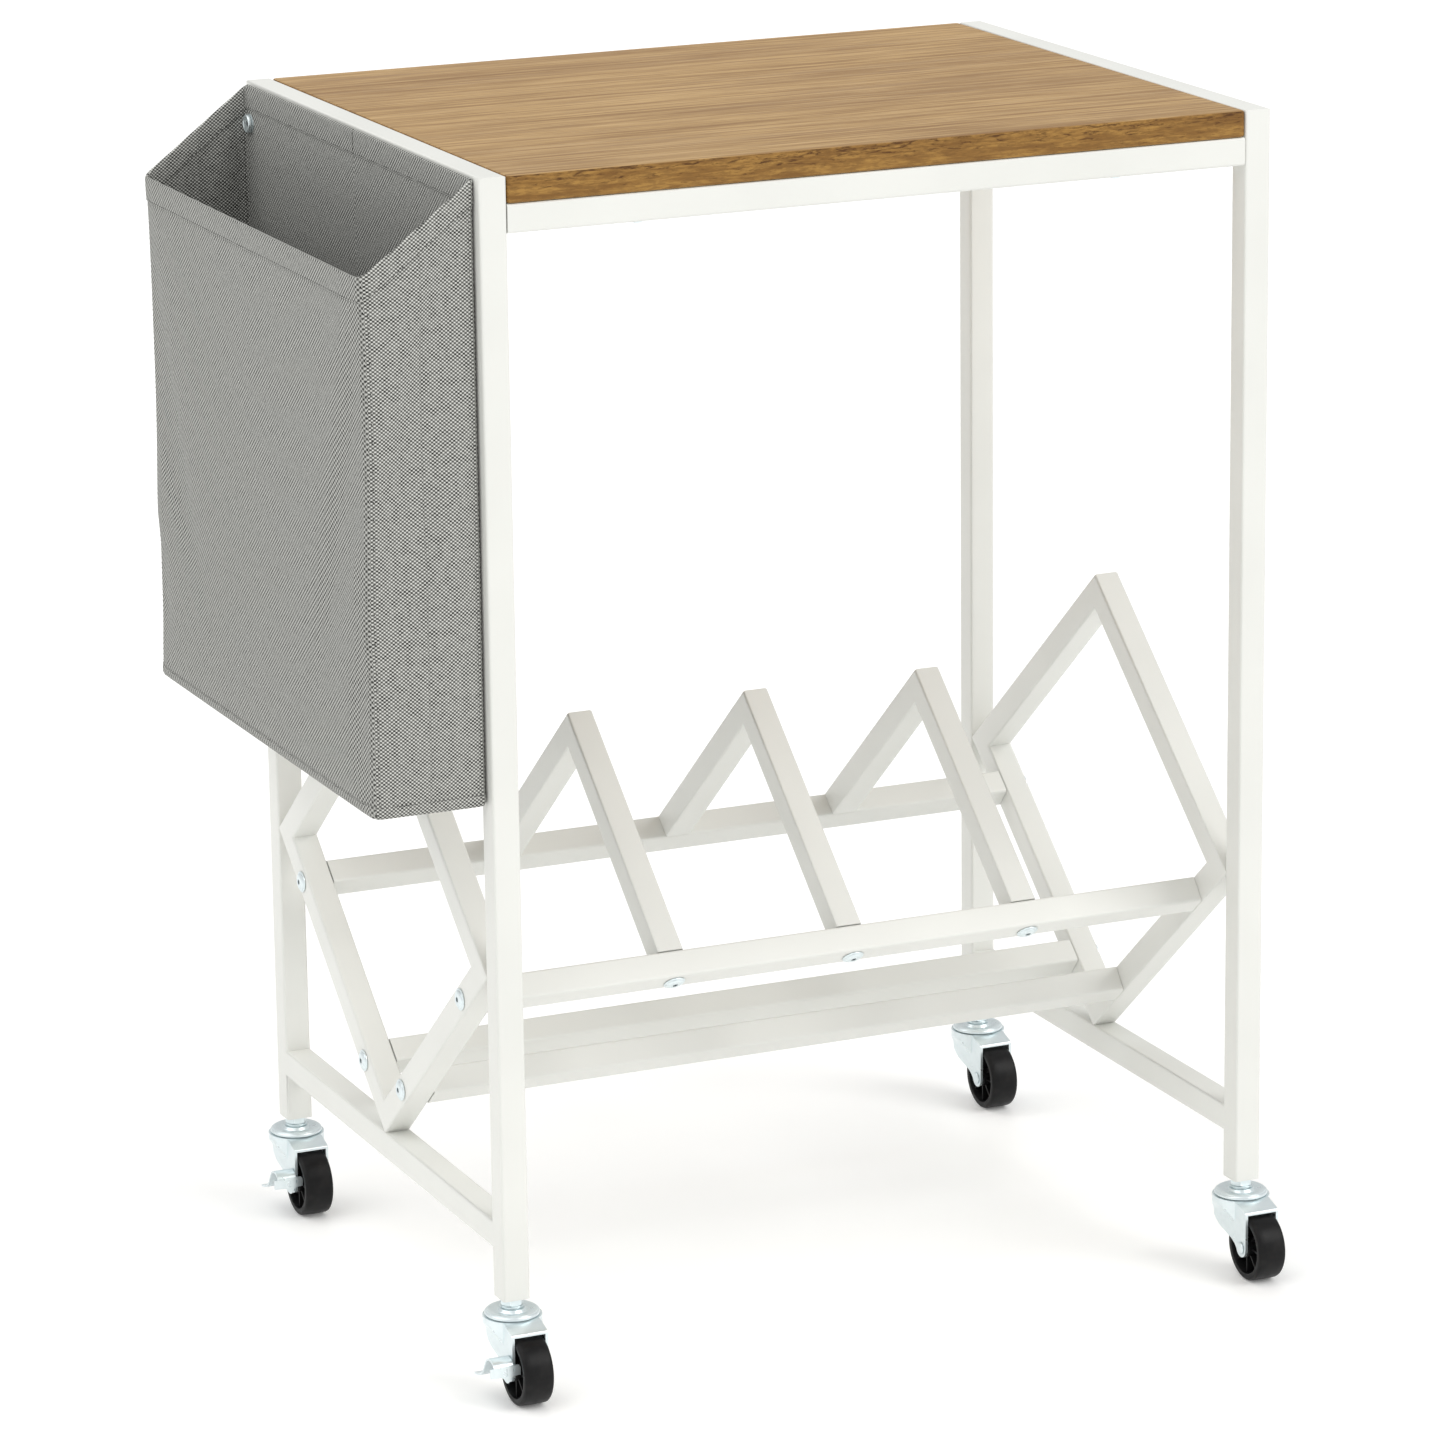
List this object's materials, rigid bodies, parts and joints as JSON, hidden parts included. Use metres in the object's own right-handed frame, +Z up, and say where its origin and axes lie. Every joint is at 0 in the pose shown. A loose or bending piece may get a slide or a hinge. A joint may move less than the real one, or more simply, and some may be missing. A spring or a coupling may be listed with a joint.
{
  "type": "newspaper rack",
  "caption": "Wheeled side table with a wooden top, a slotted tube rack for newspapers and magazines below it, a fabric side pocket and swivel casters.",
  "frame": {"origin": "middle of the bottom of the whole object's box, on the floor under the wheels", "axes": "+Z up; +X to the right along the table top's long side, away from the fabric pocket; -Y is the front; the caster forks trail to -Y"},
  "size_m": [0.69, 0.5074, 0.859],
  "materials": {
    "white_frame": "warm white powder coat, satin",
    "wood_top": "light walnut veneer with fine straight grain, satin varnish",
    "pocket_fabric": "coarse two-tone grey basket weave, matt",
    "zinc": "bright zinc plate",
    "black_wheel": "moulded black plastic, semi-gloss",
    "grey_plastic": "plain moulded grey plastic"
  },
  "bodies": {
    "frame": {"left_side_frame": "white_frame", "right_side_frame": "white_frame", "front_top_rail": "white_frame", "rear_top_rail": "white_frame", "table_top": "wood_top", "rear_upper_rack_rail": "white_frame", "rear_lower_rack_rail": "white_frame", "front_lower_rack_rail": "white_frame", "front_upper_rack_rail": "white_frame", "left_divider": "white_frame", "middle_divider": "white_frame", "right_divider": "white_frame", "side_pocket": "pocket_fabric", "pocket_base_board": "grey_plastic", "rack_bolt_left_1": "zinc", "rack_bolt_left_2": "zinc", "rack_bolt_left_3": "zinc", "rack_bolt_left_4": "zinc", "rack_bolt_right_1": "zinc", "rack_bolt_right_2": "zinc", "rack_bolt_right_3": "zinc", "rack_bolt_right_4": "zinc", "divider_bolt_front_1": "zinc", "divider_bolt_front_2": "zinc", "divider_bolt_front_3": "zinc", "divider_bolt_rear_1": "zinc", "divider_bolt_rear_2": "zinc", "divider_bolt_rear_3": "zinc", "top_bolt_right_front": "zinc", "top_bolt_left_front": "zinc", "pocket_washer_front": "zinc", "board_screw_front_left": "zinc", "board_screw_front_right": "zinc", "top_bolt_right_rear": "zinc", "top_bolt_left_rear": "zinc", "pocket_washer_rear": "zinc", "board_screw_rear_left": "zinc", "board_screw_rear_right": "zinc", "front_left_leg_insert": "grey_plastic", "front_left_caster_stem": "zinc", "rear_left_leg_insert": "grey_plastic", "rear_left_caster_stem": "zinc", "front_right_leg_insert": "grey_plastic", "front_right_caster_stem": "zinc", "rear_right_leg_insert": "grey_plastic", "rear_right_caster_stem": "zinc"},
    "front_left_caster": {"front_left_fork": "zinc", "front_left_axle": "zinc"},
    "front_left_wheel": {"front_left_wheel": "black_wheel"},
    "front_left_brake": {"front_left_brake_lever": "zinc"},
    "rear_left_caster": {"rear_left_fork": "zinc", "rear_left_axle": "zinc"},
    "rear_left_wheel": {"rear_left_wheel": "black_wheel"},
    "rear_left_brake": {"rear_left_brake_lever": "zinc"},
    "front_right_caster": {"front_right_fork": "zinc", "front_right_axle": "zinc"},
    "front_right_wheel": {"front_right_wheel": "black_wheel"},
    "rear_right_caster": {"rear_right_fork": "zinc", "rear_right_axle": "zinc"},
    "rear_right_wheel": {"rear_right_wheel": "black_wheel"}
  },
  "joints": [
    {"name": "front_left_swivel", "type": "hinge", "parent": "frame", "child": "front_left_caster", "pos_m": [-0.25069, -0.20325, 0.0575], "axis": [0, 0, 1], "continuous": true},
    {"name": "front_left_wheel_spin", "type": "hinge", "parent": "front_left_caster", "child": "front_left_wheel", "pos_m": [-0.25069, -0.22875, 0.025], "axis": [1, 0, 0], "continuous": true},
    {"name": "front_left_brake_press", "type": "hinge", "parent": "front_left_caster", "child": "front_left_brake", "pos_m": [-0.25069, -0.22875, 0.025], "axis": [1, 0, 0], "range_deg": [-10, 0]},
    {"name": "rear_left_swivel", "type": "hinge", "parent": "frame", "child": "rear_left_caster", "pos_m": [-0.25069, 0.23275, 0.0575], "axis": [0, 0, 1], "continuous": true},
    {"name": "rear_left_wheel_spin", "type": "hinge", "parent": "rear_left_caster", "child": "rear_left_wheel", "pos_m": [-0.25069, 0.20725, 0.025], "axis": [1, 0, 0], "continuous": true},
    {"name": "rear_left_brake_press", "type": "hinge", "parent": "rear_left_caster", "child": "rear_left_brake", "pos_m": [-0.25069, 0.20725, 0.025], "axis": [1, 0, 0], "range_deg": [-10, 0]},
    {"name": "front_right_swivel", "type": "hinge", "parent": "frame", "child": "front_right_caster", "pos_m": [0.32431, -0.20325, 0.0575], "axis": [0, 0, 1], "continuous": true},
    {"name": "front_right_wheel_spin", "type": "hinge", "parent": "front_right_caster", "child": "front_right_wheel", "pos_m": [0.32431, -0.22875, 0.025], "axis": [1, 0, 0], "continuous": true},
    {"name": "rear_right_swivel", "type": "hinge", "parent": "frame", "child": "rear_right_caster", "pos_m": [0.32431, 0.23275, 0.0575], "axis": [0, 0, 1], "continuous": true},
    {"name": "rear_right_wheel_spin", "type": "hinge", "parent": "rear_right_caster", "child": "rear_right_wheel", "pos_m": [0.32431, 0.20725, 0.025], "axis": [1, 0, 0], "continuous": true}
  ]
}
